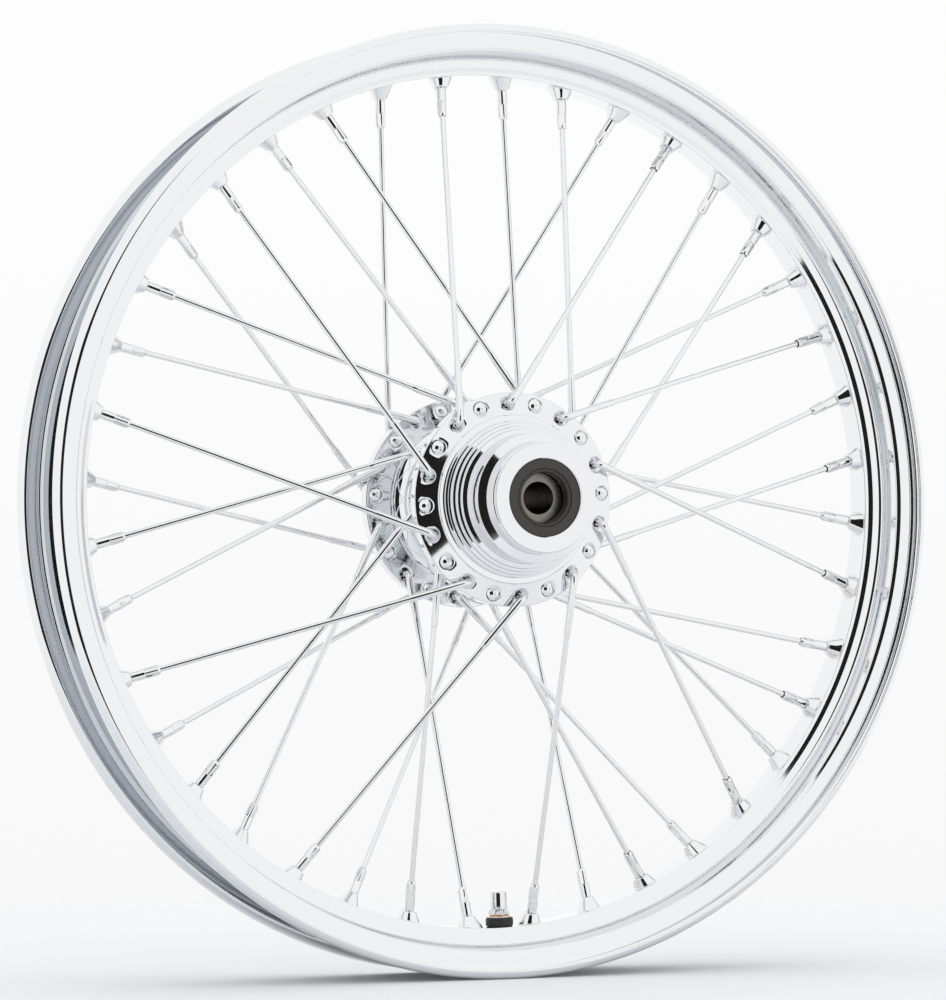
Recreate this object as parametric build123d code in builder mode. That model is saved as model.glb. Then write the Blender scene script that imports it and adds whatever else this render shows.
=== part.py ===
from build123d import *

import os
from math import cos, radians, sin, sqrt, tan

# Spoked motorcycle front wheel, 21 x 2.15 in, 40 crossed spokes, millimetres.
# The origin is the wheel's centre on the axle line. The axle lies along Y, +Z is up,
# and the plain stepped side of the hub faces -Y. The brake disc bolts to the +Y side.
# Angles turn from +X towards +Z.

# ---------------------------------------------------------------- rim
LIP_R = 280.7             # flange height 14 above the bead seat
SEAT_R = 266.7            # bead seat of a 21 in rim (533.4 diameter)
HALF_WIDTH = 27.0         # half of the distance between the tyre-side flange walls
LIP_CURL_R = 5.0          # tyre-side radius of the rolled lip
SHEET = 2.2               # steel thickness
BED_R = 252.4             # hub side of the drilled centre band
BED_HALF = 9.0
BED_OUTER_R = BED_R + SHEET + 0.2
CURL_Y = HALF_WIDTH + LIP_CURL_R
CURL_R = LIP_R - LIP_CURL_R

# ---------------------------------------------------------------- lacing
SPOKE_SETS = 10           # spokes in each of the four groups
TURN = 360 / SPOKE_SETS
FIRST_NIPPLE = 96.64      # angle of the first rim hole
NIPPLE_STEP = 9.0
HOLE_R = 56.6             # hub spoke holes, 113.2 pitch circle
HUB_STEP = 18.0
FIRST_NEAR_HOLE = 4.42    # angle of the first hub hole on each flange
FIRST_FAR_HOLE = 13.60
CROSSED_RISE = 5.0        # elbow corner to flange face: spokes bending outside the flange
INSIDE_RISE = 3.5         # the same for spokes bending on the inside
SPOKE_THICK_R = 2.2
SPOKE_THIN_R = 1.75
SPOKE_THICK_LENGTH = 37.0
SPOKE_HOLE_R = 2.35
ELBOW_BEND = 4.0
STEP_TAPER = 2.0          # length of the taper from the thick to the thin part
HEAD_R = 4.2
HEAD_DOME = 2.0
SINK_R = 4.7              # countersink under the head
ELBOW_SINK_R = 4.5        # relief where the spoke bends

# ---------------------------------------------------------------- nipples and rim dimples
# Depths run along the spoke from the rim's centre band towards the hub.
DIMPLE_BASE_R = 7.6
DIMPLE_TOP_R = 4.6
DIMPLE_DEPTH = 6.5
DIMPLE_SLOPE = (DIMPLE_BASE_R - DIMPLE_TOP_R) / DIMPLE_DEPTH
POCKET_BASE_R = 5.6
POCKET_DEPTH = 4.6
NIPPLE_HOLE_R = 3.3
NIPPLE_R = 3.2
NIPPLE_BORE_R = 1.8
NIPPLE_FLATS = 5.5
NIPPLE_ROUND_END = 15.0
NIPPLE_TIP = 24.0
NIPPLE_HEAD_TOP = -1.0
NIPPLE_HEAD_EDGE = 1.0
NIPPLE_HEAD_FOOT = 4.4
NIPPLE_GAP = 0.1
SPOKE_END = 2.0
DIMPLE_ROOT = -2.0        # the dimple's cone starts inside the sheet
PUNCH_TOP = -6.0          # the pocket's cutter starts clear of the sheet
NIPPLE_TIP_ROUND = 1.2    # round end beyond the square

# ---------------------------------------------------------------- hub
NEAR_FACE = -42.15        # outer face of the near spoke flange
FAR_FACE = 32.75          # inner face of the far spoke flange
FLANGE_THICK = 7.5
FLANGE_R = 63.0
FLANGE_BEVEL = 1.0
BARREL_R = 37.0
FLARE = 11.0              # concave flare from barrel to flange
NEAR_END = NEAR_FACE - 43.2
FAR_END = 68.0
ROTOR_FACE = 62.0
ROTOR_BOSS_R = 49.0
ROTOR_PILOT_R = 28.2
ROTOR_PCD_R = 41.275
ROTOR_HOLE_R = 3.3        # tapping size for 5/16-18
ROTOR_HOLE_DEPTH = 18.0
ROTOR_HOLES = 5
PILOT_CHAMFER = 1.0
BEARING_BORE_R = 22.62
SHOULDER_R = 19.6
SHOULDER_WIDTH = 5.0
CAVITY_R = 27.0
# The turned nose of the near side: radius, and how far it stands out from the flange face.
NOSE = [
    (49.6, 0.0),
    (49.6, 1.2),
    (49.0, 1.6),
    (45.8, 2.0),
    (45.8, 7.4),
    (44.3, 7.9),
    (44.3, 10.6),
    (42.5, 11.15),
    (42.5, 13.6),
    (40.7, 14.2),
    (40.7, 16.4),
    (37.8, 17.3),
    (37.8, 31.4),
    (32.6, 33.0),
    (32.6, 41.0),
    (31.7, 41.4),
    (31.7, 43.2),
]

# ---------------------------------------------------------------- wheel bearings
AXLE_R = 9.55             # runs on a 19.05 axle
CONE_DEPTH = 10.2         # cone's back face, in from each hub end
BEARING_R = 22.6
CUP_FROM = 3.43
CUP_TO = 15.49
CONE_WIDTH = 16.64
CONE_RIB_R = 15.6
CONE_RIB = 3.12
CONE_TOE_R = 13.2
CONE_TOE_FROM = 13.6
RIB_UNDERCUT = 0.3
TOE_STEP = 0.2
RIB_CHAMFER = 1.0
ROLLER_MIDDLE = 8.4       # depth of the roller's middle behind the cone's back face
CUP_RACE_R = 18.6         # race radii at that depth
CONE_RACE_R = 13.0
CUP_TAN = 0.2
CONE_TAN = CUP_TAN * CONE_RACE_R / CUP_RACE_R
ROLLER_TILT = 9.63
ROLLER_PITCH_R = 15.78
ROLLER_R = 2.70
ROLLER_HALF_ANGLE = 1.67
ROLLER_LENGTH = 10.0
ROLLER_CHAMFER = 0.3
ROLLERS = 15
POCKET_GAP = 0.15
CAGE_INNER = 0.5          # cage wall outside the rollers' pitch cone
CAGE_WALL = 1.0
CAGE_ENDS = 3.6           # length of the cage's two end rings together
CAGE_SHIFT = 0.2
TUBE_R = 12.8
SHIM = 0.8
WASHER = 2.0

# ---------------------------------------------------------------- oil seals
SEAL_SET_BACK = 0.9
SEAL_DEPTH = 7.0
SEAL_LIP_R = 14.6
SEAL_SKIN = 1.2
CASE_WALL = 1.1
CASE_BORE_R = SEAL_LIP_R + 3.0
LIP_BACK_R = SEAL_LIP_R + 1.4
LIP_MOUTH_R = SEAL_LIP_R + 1.2
LIP_END = SEAL_DEPTH - 0.4
SPRING_R = 0.7
SPRING_DEPTH = SEAL_DEPTH - 1.8
SPRING_SET = 0.05         # clearance between the garter spring and the lip's back

# ---------------------------------------------------------------- valve
VALVE_ANGLE = FIRST_NIPPLE - NIPPLE_STEP * 20.5
VALVE_HOLE_R = 4.2
STEM_R = 4.1
STEM_THREAD_R = 3.85
GROMMET_R = 8.15
GROMMET_HEIGHT = 5.4
WASHER_TOP = 6.2
RING_TOP = 7.2
NUT_TOP = 10.2
CAP_TOP = 21.0
CAP_R = 5.15
CAP_FACETS = 12
CAP_BORE_R = 3.93
STEM_TOP = 19.0
CORE_R = 2.3
CORE_BORE_R = 0.9
PIN_R = 0.75
PIN_FOOT_R = 1.9
PIN_FOOT_THICK = 1.55
PIN_FOOT_GAP = 0.05       # between the pin's foot and the core body it closes on
PIN_BELOW_STEM = 0.3
INNER_GROMMET_R = 7.5
INNER_GROMMET_THICK = 1.8
STEM_FOOT_R = 7.2
STEM_FOOT_THICK = 2.2
STEM_BORE_R = 1.5
OUTER_GROMMET_ROUND = 0.9
WASHER_R = 6.9
RING_R = 5.9
NUT_CORNER_R = 6.5
CAP_CHAMFER = 1.2
CAP_CROWN = 1.4           # solid end of the cap
CORE_FROM = 8.0
CORE_TO = 17.4
CORE_SEAT = 3.0           # height where the stem widens for the valve core
SKIN_GAP = 0.05           # between the rubber and the metal beside it
BED_SINK = 0.02

TURNS = [Location((0, 0, 0), (0, TURN * index, 0)) for index in range(SPOKE_SETS)]


def polar(radius, angle, y):
    """A point at a radius and an angle about the axle."""
    return Vector(radius * cos(radians(angle)), y, radius * sin(radians(angle)))


def ring(outline, corner=None):
    """A body of revolution about the axle, from an outline of (radius, y) points."""
    with BuildPart() as body:
        with BuildSketch(Plane.XY):
            with BuildLine():
                if corner is None:
                    Polyline(*outline, close=True)
                else:
                    FilletPolyline(*outline, radius=corner, close=True)
            make_face()
        revolve(axis=Axis.Y)
    return body


# The four groups of spokes. Each has the angle of its first hub hole, the number of rim holes
# counted back from the first, the flange face where it bends, the face where its head sits,
# the side the elbow points to (-1 is towards -Y) and the corner's distance from the face.
NEAR_INNER_FACE = NEAR_FACE + FLANGE_THICK
FAR_OUTER_FACE = FAR_FACE + FLANGE_THICK
GROUPS = {
    "near_outer": (FIRST_NEAR_HOLE + HUB_STEP, 12, NEAR_FACE, NEAR_INNER_FACE, -1, CROSSED_RISE),
    "near_inner": (FIRST_NEAR_HOLE, 6, NEAR_INNER_FACE, NEAR_FACE, 1, INSIDE_RISE),
    "far_inner": (FIRST_FAR_HOLE, 5, FAR_FACE, FAR_OUTER_FACE, -1, INSIDE_RISE),
    "far_outer": (FIRST_FAR_HOLE + HUB_STEP, 11, FAR_OUTER_FACE, FAR_FACE, 1, CROSSED_RISE),
}


def spoke_line(group):
    """The elbow's corner, the rim point and the unit vector from the rim to the hub."""
    hole_angle, rim_hole, elbow_face, _, side, rise = GROUPS[group]
    corner = polar(HOLE_R, hole_angle, elbow_face + side * rise)
    rim_point = polar(BED_R, FIRST_NIPPLE - NIPPLE_STEP * rim_hole, 0)
    return corner, rim_point, (corner - rim_point).normalized()


def spoke_plane(group, depth):
    """A plane across the spoke, facing the hub, at a depth below the rim's centre band."""
    _, rim_point, inward = spoke_line(group)
    return Plane(origin=rim_point + inward * depth, z_dir=inward)


def cone_between(group, start, start_r, end, end_r, mode=Mode.ADD):
    """A cone along a spoke's line between two depths."""
    with Locations(spoke_plane(group, start)):
        Cone(start_r, end_r, end - start, align=(Align.CENTER, Align.CENTER, Align.MIN), mode=mode)


def rod_between(group, start, end, radius, mode=Mode.ADD):
    """A cylinder along a spoke's line between two depths."""
    with Locations(spoke_plane(group, start)):
        Cylinder(radius, end - start, align=(Align.CENTER, Align.CENTER, Align.MIN), mode=mode)


pieces = {}

# ================================================================ rim
WELL_WALL_Y = 12.6
DIMPLE_BAND_HALF = BED_HALF - 1.5
BAND_CUT = 8.0            # height of the cut that clears the dimples' roots
VALVE_CUT = 12.0
STRIP_THICK = 1.0
STRIP_HALF = BED_HALF - 1.6
STRIP_VALVE_R = 7.7
TIP_ANGLE = 100           # how far round the lip is rolled
TIP_ROUND = 16


def curl_point(radius, angle):
    """A point of the rolled lip's section, about the centre of the roll."""
    return CURL_R + radius * cos(radians(angle)), CURL_Y + radius * sin(radians(angle))


with BuildPart() as rim:
    with BuildSketch(Plane.XY):
        with BuildLine():
            hub_side = FilletPolyline(
                (BED_R, 0),
                (BED_R, BED_HALF),
                (262.8, WELL_WALL_Y),
                (264.3, HALF_WIDTH - 0.8),
                (267.4, HALF_WIDTH + SHEET),
                (CURL_R, HALF_WIDTH + SHEET),
                radius=[1.6, 2.4, 2.6, 1.2],
            )
            curl = (CURL_R, CURL_Y)
            inner_curl = CenterArc(curl, LIP_CURL_R - SHEET, 270, 90 + TIP_ANGLE)
            outer_curl = CenterArc(curl, LIP_CURL_R, TIP_ANGLE, -90 - TIP_ANGLE)
            tip_middle = curl_point(LIP_CURL_R - SHEET / 2, TIP_ANGLE + TIP_ROUND)
            ThreePointArc(inner_curl @ 1, tip_middle, outer_curl @ 0)
            tyre_side = FilletPolyline(
                outer_curl @ 1,
                (SEAT_R + 0.1, HALF_WIDTH),
                (SEAT_R - 1.2, WELL_WALL_Y - 0.6),
                (BED_OUTER_R, BED_HALF - 1.2),
                (BED_OUTER_R, 0),
                radius=[4.0, 2.0, 1.6],
            )
            Line(tyre_side @ 1, hub_side @ 0)
        make_face()
        mirror(about=Plane.XZ)
    revolve(axis=Axis.Y)
    for group in GROUPS:
        with BuildPart(mode=Mode.PRIVATE) as dimple:
            root_r = DIMPLE_BASE_R - DIMPLE_ROOT * DIMPLE_SLOPE
            cone_between(group, DIMPLE_ROOT, root_r, DIMPLE_DEPTH, DIMPLE_TOP_R)
        with Locations(*TURNS):
            add(dimple.part)
    with BuildSketch(Plane.XY):
        with Locations((BED_OUTER_R + BAND_CUT / 2, 0)):
            Rectangle(BAND_CUT, 2 * DIMPLE_BAND_HALF)
    revolve(axis=Axis.Y, mode=Mode.SUBTRACT)
    for group in GROUPS:
        with BuildPart(mode=Mode.PRIVATE) as punch:
            pocket_top_r = POCKET_BASE_R - PUNCH_TOP * DIMPLE_SLOPE
            pocket_foot_r = POCKET_BASE_R - POCKET_DEPTH * DIMPLE_SLOPE
            cone_between(group, PUNCH_TOP, pocket_top_r, POCKET_DEPTH, pocket_foot_r)
            rod_between(group, 0, DIMPLE_DEPTH + 1, NIPPLE_HOLE_R)
        with Locations(*TURNS):
            add(punch.part, mode=Mode.SUBTRACT)
    with Locations(Plane(origin=polar(BED_R, VALVE_ANGLE, 0), z_dir=polar(1, VALVE_ANGLE, 0))):
        Cylinder(VALVE_HOLE_R, VALVE_CUT, mode=Mode.SUBTRACT)
pieces["rim"] = rim

STRIP_R = BED_OUTER_R + 0.05
with BuildPart() as rim_strip:
    with BuildSketch(Plane.XY):
        with Locations((STRIP_R + STRIP_THICK / 2, 0)):
            Rectangle(STRIP_THICK, 2 * STRIP_HALF)
    revolve(axis=Axis.Y)
    with Locations(Plane(origin=polar(STRIP_R, VALVE_ANGLE, 0), z_dir=polar(1, VALVE_ANGLE, 0))):
        Cylinder(STRIP_VALVE_R, VALVE_CUT, mode=Mode.SUBTRACT)
pieces["rim_strip"] = rim_strip

# ================================================================ spokes and nipples
for group, (hole_angle, _, _, head_face, elbow_side, _) in GROUPS.items():
    corner, rim_point, inward = spoke_line(group)
    length = (corner - rim_point).length
    step_depth = length - SPOKE_THICK_LENGTH
    head_side = -elbow_side
    shank_start = head_face - head_side * (SINK_R - SPOKE_THICK_R)

    with BuildPart() as spoke:
        with BuildLine() as path:
            FilletPolyline(
                polar(HOLE_R, hole_angle, shank_start),
                corner,
                rim_point + inward * step_depth,
                radius=ELBOW_BEND,
            )
        with BuildSketch(path.line ^ 0):
            Circle(SPOKE_THICK_R)
        sweep()
        cone_between(group, step_depth - STEP_TAPER, SPOKE_THIN_R, step_depth, SPOKE_THICK_R)
        rod_between(group, SPOKE_END, step_depth - STEP_TAPER, SPOKE_THIN_R)
        # The head: a countersunk neck in the flange with a dome standing out of it.
        neck = HEAD_R - SPOKE_THICK_R
        dome_r = (HEAD_R**2 + HEAD_DOME**2) / (2 * HEAD_DOME)
        head_plane = Plane(
            origin=polar(HOLE_R, hole_angle, shank_start), x_dir=(1, 0, 0), z_dir=(0, head_side, 0)
        )
        with Locations(head_plane):
            Cone(SPOKE_THICK_R, HEAD_R, neck, align=(Align.CENTER, Align.CENTER, Align.MIN))
        with BuildSketch(Plane(origin=head_plane.origin, x_dir=(1, 0, 0), z_dir=(0, 0, 1))):
            with BuildLine():
                rim_edge = (HEAD_R, head_side * neck)
                crown = (0, head_side * (neck + HEAD_DOME))
                base = Line((0, head_side * neck), rim_edge)
                RadiusArc(rim_edge, crown, -head_side * dome_r)
                Line(crown, base @ 0)
            make_face()
        revolve(axis=Axis(polar(HOLE_R, hole_angle, 0), (0, 1, 0)))

    with BuildPart() as spokes:
        with Locations(*TURNS):
            add(spoke.part)
    pieces[f"{group}_spokes"] = spokes

    with BuildPart() as nipple:
        head_edge_r = POCKET_BASE_R - NIPPLE_HEAD_EDGE * DIMPLE_SLOPE - NIPPLE_GAP
        head_foot_r = POCKET_BASE_R - NIPPLE_HEAD_FOOT * DIMPLE_SLOPE - NIPPLE_GAP
        rod_between(group, NIPPLE_HEAD_TOP, NIPPLE_HEAD_EDGE, head_edge_r)
        cone_between(group, NIPPLE_HEAD_EDGE, head_edge_r, NIPPLE_HEAD_FOOT, head_foot_r)
        rod_between(group, NIPPLE_HEAD_FOOT, NIPPLE_TIP, NIPPLE_R)
        with BuildSketch(spoke_plane(group, NIPPLE_ROUND_END)):
            Circle(NIPPLE_R + 1)
            Rectangle(NIPPLE_FLATS, NIPPLE_FLATS, mode=Mode.SUBTRACT)
        extrude(amount=NIPPLE_TIP - NIPPLE_ROUND_END - NIPPLE_TIP_ROUND, mode=Mode.SUBTRACT)
        rod_between(group, NIPPLE_HEAD_TOP - 1, NIPPLE_TIP + 1, NIPPLE_BORE_R, mode=Mode.SUBTRACT)
    with BuildPart() as nipples:
        with Locations(*TURNS):
            add(nipple.part)
    pieces[f"{group}_nipples"] = nipples

# ================================================================ hub
CUT_CLEAR = 0.3           # how far a countersink's cutter runs past its faces
near_shoulder = NEAR_END + CONE_DEPTH + CUP_TO
far_shoulder = FAR_END - CONE_DEPTH - CUP_TO
hub_outline = [
    (BEARING_BORE_R, NEAR_END),
    *[(radius, NEAR_FACE - height) for radius, height in reversed(NOSE)],
    (FLANGE_R - FLANGE_BEVEL, NEAR_FACE),
    (FLANGE_R, NEAR_FACE + FLANGE_BEVEL),
    (FLANGE_R, NEAR_INNER_FACE - FLANGE_BEVEL),
    (FLANGE_R - FLANGE_BEVEL, NEAR_INNER_FACE),
    (BARREL_R + FLARE, NEAR_INNER_FACE),
]
hub_far = [
    (BARREL_R + FLARE, FAR_FACE),
    (FLANGE_R - FLANGE_BEVEL, FAR_FACE),
    (FLANGE_R, FAR_FACE + FLANGE_BEVEL),
    (FLANGE_R, FAR_OUTER_FACE - FLANGE_BEVEL),
    (FLANGE_R - FLANGE_BEVEL, FAR_OUTER_FACE),
    (ROTOR_BOSS_R, FAR_OUTER_FACE),
    (ROTOR_BOSS_R, ROTOR_FACE),
    (ROTOR_PILOT_R, ROTOR_FACE),
    (ROTOR_PILOT_R, FAR_END - PILOT_CHAMFER),
    (ROTOR_PILOT_R - PILOT_CHAMFER, FAR_END),
    (BEARING_BORE_R, FAR_END),
    (BEARING_BORE_R, far_shoulder),
    (SHOULDER_R, far_shoulder),
    (SHOULDER_R, far_shoulder - SHOULDER_WIDTH),
    (CAVITY_R, far_shoulder - SHOULDER_WIDTH - CAVITY_R + SHOULDER_R),
    (CAVITY_R, near_shoulder + SHOULDER_WIDTH + CAVITY_R - SHOULDER_R),
    (SHOULDER_R, near_shoulder + SHOULDER_WIDTH),
    (SHOULDER_R, near_shoulder),
    (BEARING_BORE_R, near_shoulder),
    (BEARING_BORE_R, NEAR_END),
]
with BuildPart() as hub_shell:
    with BuildSketch(Plane.XY):
        with BuildLine():
            Polyline(*hub_outline)
            near_flare = CenterArc((BARREL_R + FLARE, NEAR_INNER_FACE + FLARE), FLARE, 270, -90)
            Line(near_flare @ 1, (BARREL_R, FAR_FACE - FLARE))
            CenterArc((BARREL_R + FLARE, FAR_FACE - FLARE), FLARE, 180, -90)
            Polyline(*hub_far)
        make_face()
    revolve(axis=Axis.Y)
    for group, (hole_angle, _, elbow_face, head_face, elbow_side, _) in GROUPS.items():
        # A face that looks towards +Y sees the angles the other way round.
        elbow_plane = Plane(origin=(0, elbow_face, 0), x_dir=(1, 0, 0), z_dir=(0, elbow_side, 0))
        head_plane = Plane(origin=(0, head_face, 0), x_dir=(1, 0, 0), z_dir=(0, -elbow_side, 0))
        with Locations(head_plane):
            with PolarLocations(HOLE_R, SPOKE_SETS, start_angle=elbow_side * hole_angle):
                CounterSinkHole(SPOKE_HOLE_R, SINK_R, depth=FLANGE_THICK + 1)
        with Locations(elbow_plane):
            with PolarLocations(HOLE_R, SPOKE_SETS, start_angle=-elbow_side * hole_angle):
                with Locations((0, 0, CUT_CLEAR)):
                    Cone(
                        SPOKE_HOLE_R - CUT_CLEAR,
                        ELBOW_SINK_R + CUT_CLEAR,
                        ELBOW_SINK_R - SPOKE_HOLE_R + 2 * CUT_CLEAR,
                        align=(Align.CENTER, Align.CENTER, Align.MAX),
                        mode=Mode.SUBTRACT,
                    )
    with Locations(Plane(origin=(0, ROTOR_FACE, 0), x_dir=(1, 0, 0), z_dir=(0, 1, 0))):
        with PolarLocations(ROTOR_PCD_R, ROTOR_HOLES):
            Hole(ROTOR_HOLE_R, depth=ROTOR_HOLE_DEPTH)
pieces["hub_shell"] = hub_shell

# ================================================================ bearings and seals
# Depths run inwards from the cone's back face, or from the hub's end for the seals.
for end, hub_end, into in (("near", NEAR_END, 1), ("far", FAR_END, -1)):
    back = hub_end + into * CONE_DEPTH
    middle = back + into * ROLLER_MIDDLE

    def race_y(depth):
        return back + into * depth

    def race_r(radius, slope, depth):
        return radius + slope * (ROLLER_MIDDLE - depth)

    pieces[f"{end}_bearing_cup"] = ring(
        [
            (BEARING_R, race_y(CUP_FROM)),
            (race_r(CUP_RACE_R, CUP_TAN, CUP_FROM), race_y(CUP_FROM)),
            (race_r(CUP_RACE_R, CUP_TAN, CUP_TO), race_y(CUP_TO)),
            (BEARING_R, race_y(CUP_TO)),
        ]
    )
    rib_foot = CONE_RIB - RIB_UNDERCUT
    toe_foot = CONE_TOE_FROM - TOE_STEP
    pieces[f"{end}_bearing_cone"] = ring(
        [
            (AXLE_R, race_y(0)),
            (CONE_RIB_R - RIB_CHAMFER, race_y(0)),
            (CONE_RIB_R, race_y(RIB_CHAMFER)),
            (CONE_RIB_R, race_y(CONE_RIB)),
            (race_r(CONE_RACE_R, CONE_TAN, rib_foot), race_y(rib_foot)),
            (race_r(CONE_RACE_R, CONE_TAN, toe_foot), race_y(toe_foot)),
            (CONE_TOE_R, race_y(CONE_TOE_FROM)),
            (CONE_TOE_R, race_y(CONE_WIDTH)),
            (AXLE_R, race_y(CONE_WIDTH)),
        ]
    )

    # Rollers lean along the pitch cone, their large ends towards the outside of the hub.
    roller_axis = Vector(sin(radians(ROLLER_TILT)), -into * cos(radians(ROLLER_TILT)), 0)
    roller_plane = Plane(
        origin=Vector(ROLLER_PITCH_R, middle, 0) - roller_axis * (ROLLER_LENGTH / 2), z_dir=roller_axis
    )
    half_taper = ROLLER_LENGTH / 2 * tan(radians(ROLLER_HALF_ANGLE))
    around = [Location((0, 0, 0), (0, 360 / ROLLERS * index, 0)) for index in range(ROLLERS)]
    with BuildPart() as roller:
        with Locations(roller_plane):
            Cone(
                ROLLER_R - half_taper,
                ROLLER_R + half_taper,
                ROLLER_LENGTH,
                align=(Align.CENTER, Align.CENTER, Align.MIN),
            )
        chamfer(roller.edges().filter_by(GeomType.CIRCLE), ROLLER_CHAMFER)
    with BuildPart() as rollers:
        with Locations(*around):
            add(roller.part)
    pieces[f"{end}_rollers"] = rollers

    with BuildPart() as window:
        with Locations(roller_plane):
            with Locations((0, 0, -POCKET_GAP)):
                Cone(
                    ROLLER_R - half_taper + POCKET_GAP,
                    ROLLER_R + half_taper + POCKET_GAP,
                    ROLLER_LENGTH + 2 * POCKET_GAP,
                    align=(Align.CENTER, Align.CENTER, Align.MIN),
                )
    pitch_plane = Plane(origin=(ROLLER_PITCH_R, middle, 0), x_dir=roller_axis, z_dir=(0, 0, 1))
    with BuildPart() as cage:
        with BuildSketch(pitch_plane):
            with Locations((CAGE_SHIFT, into * (CAGE_INNER + CAGE_WALL / 2))):
                Rectangle(ROLLER_LENGTH + CAGE_ENDS, CAGE_WALL)
        revolve(axis=Axis.Y)
        with Locations(*around):
            add(window.part, mode=Mode.SUBTRACT)
    pieces[f"{end}_bearing_cage"] = cage

    def seal_y(depth):
        return hub_end + into * (SEAL_SET_BACK + depth)

    pieces[f"{end}_seal_case"] = ring(
        [
            (BEARING_R, seal_y(SEAL_SKIN)),
            (BEARING_R, seal_y(SEAL_DEPTH)),
            (BEARING_R - CASE_WALL, seal_y(SEAL_DEPTH)),
            (BEARING_R - CASE_WALL, seal_y(SEAL_SKIN + CASE_WALL)),
            (CASE_BORE_R, seal_y(SEAL_SKIN + CASE_WALL)),
            (CASE_BORE_R, seal_y(SEAL_SKIN)),
        ]
    )
    pieces[f"{end}_seal_lip"] = ring(
        [
            (LIP_MOUTH_R, seal_y(0)),
            (BEARING_R - 0.4, seal_y(0)),
            (BEARING_R, seal_y(0.4)),
            (BEARING_R, seal_y(SEAL_SKIN)),
            (CASE_BORE_R, seal_y(SEAL_SKIN)),
            (CASE_BORE_R, seal_y(SEAL_SKIN + CASE_WALL)),
            (LIP_BACK_R, seal_y(SEAL_SKIN + CASE_WALL + 0.6)),
            (LIP_BACK_R, seal_y(LIP_END)),
            (SEAL_LIP_R, seal_y(LIP_END)),
            (SEAL_LIP_R, seal_y(LIP_MOUTH_R - SEAL_LIP_R)),
        ]
    )
    with BuildPart() as seal_spring:
        with BuildSketch(Plane.XY):
            with Locations((LIP_BACK_R + SPRING_SET + SPRING_R, seal_y(SPRING_DEPTH))):
                Circle(SPRING_R)
        revolve(axis=Axis.Y)
    pieces[f"{end}_seal_spring"] = seal_spring


def sleeve(radius, start, end):
    """A tube that the axle passes through."""
    return ring([(AXLE_R, start), (radius, start), (radius, end), (AXLE_R, end)])


tube_start = NEAR_END + CONE_DEPTH + CONE_WIDTH
tube_end = FAR_END - CONE_DEPTH - CONE_WIDTH - SHIM - WASHER
pieces["spacer_tube"] = sleeve(TUBE_R, tube_start, tube_end)
pieces["spacer_washer"] = sleeve(TUBE_R + 1, tube_end, tube_end + WASHER)
pieces["end_play_shim"] = sleeve(TUBE_R, tube_end + WASHER, tube_end + WASHER + SHIM)

# ================================================================ valve
# Heights run from the rim's centre band towards the hub.
valve_inward = polar(-1, VALVE_ANGLE, 0)
BED_AT_GROMMET = sqrt(BED_R**2 - GROMMET_R**2) - BED_SINK


def valve_plane(height):
    return Plane(origin=polar(BED_AT_GROMMET - height, VALVE_ANGLE, 0), x_dir=(0, 1, 0), z_dir=valve_inward)


def disc(bottom, top, radius, bore=0.0):
    """A round piece on the valve's axis, with an optional hole through it."""
    with BuildPart() as body:
        with BuildSketch(valve_plane(bottom)):
            Circle(radius)
            if bore:
                Circle(bore, mode=Mode.SUBTRACT)
        extrude(amount=top - bottom)
    return body


RIM_TOP = BED_AT_GROMMET - BED_OUTER_R - SKIN_GAP
INNER_GROMMET = RIM_TOP - INNER_GROMMET_THICK
STEM_FOOT = INNER_GROMMET - STEM_FOOT_THICK
pieces["valve_inner_grommet"] = disc(INNER_GROMMET, RIM_TOP, INNER_GROMMET_R, STEM_R)

with BuildPart() as valve_outer_grommet:
    with BuildSketch(valve_plane(0)):
        Circle(GROMMET_R)
    extrude(amount=GROMMET_HEIGHT)
    fillet(valve_outer_grommet.edges().filter_by(GeomType.CIRCLE), OUTER_GROMMET_ROUND)
    with BuildSketch(valve_plane(-1)):
        Circle(STEM_R)
    extrude(amount=GROMMET_HEIGHT + 2, mode=Mode.SUBTRACT)
pieces["valve_outer_grommet"] = valve_outer_grommet
pieces["valve_washer"] = disc(GROMMET_HEIGHT, WASHER_TOP, WASHER_R, STEM_R)
pieces["valve_ring"] = disc(WASHER_TOP, RING_TOP, RING_R, STEM_R)

with BuildPart() as valve_nut:
    with BuildSketch(valve_plane(RING_TOP)):
        RegularPolygon(NUT_CORNER_R, 6)
        Circle(STEM_R, mode=Mode.SUBTRACT)
    extrude(amount=NUT_TOP - RING_TOP)
pieces["valve_nut"] = valve_nut

with BuildPart() as valve_stem:
    with BuildSketch(valve_plane(STEM_FOOT)):
        Circle(STEM_FOOT_R)
    extrude(amount=INNER_GROMMET - STEM_FOOT)
    with BuildSketch(valve_plane(INNER_GROMMET)):
        Circle(STEM_R)
    extrude(amount=NUT_TOP - INNER_GROMMET)
    with BuildSketch(valve_plane(NUT_TOP)):
        Circle(STEM_THREAD_R)
    extrude(amount=STEM_TOP - NUT_TOP)
    with BuildSketch(valve_plane(STEM_FOOT - 1)):
        Circle(STEM_BORE_R)
    extrude(amount=STEM_TOP - STEM_FOOT + 2, mode=Mode.SUBTRACT)
    with BuildSketch(valve_plane(CORE_SEAT)):
        Circle(CORE_R)
    extrude(amount=STEM_TOP - 2, mode=Mode.SUBTRACT)
pieces["valve_stem"] = valve_stem
pieces["valve_core_body"] = disc(CORE_FROM, CORE_TO, CORE_R, CORE_BORE_R)

with BuildPart() as valve_core_pin:
    with BuildSketch(valve_plane(CORE_FROM - PIN_FOOT_GAP - PIN_FOOT_THICK)):
        Circle(PIN_FOOT_R)
    extrude(amount=PIN_FOOT_THICK)
    with BuildSketch(valve_plane(CORE_FROM - PIN_FOOT_THICK)):
        Circle(PIN_R)
    extrude(amount=STEM_TOP - PIN_BELOW_STEM - CORE_FROM + PIN_FOOT_THICK)
pieces["valve_core_pin"] = valve_core_pin

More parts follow.
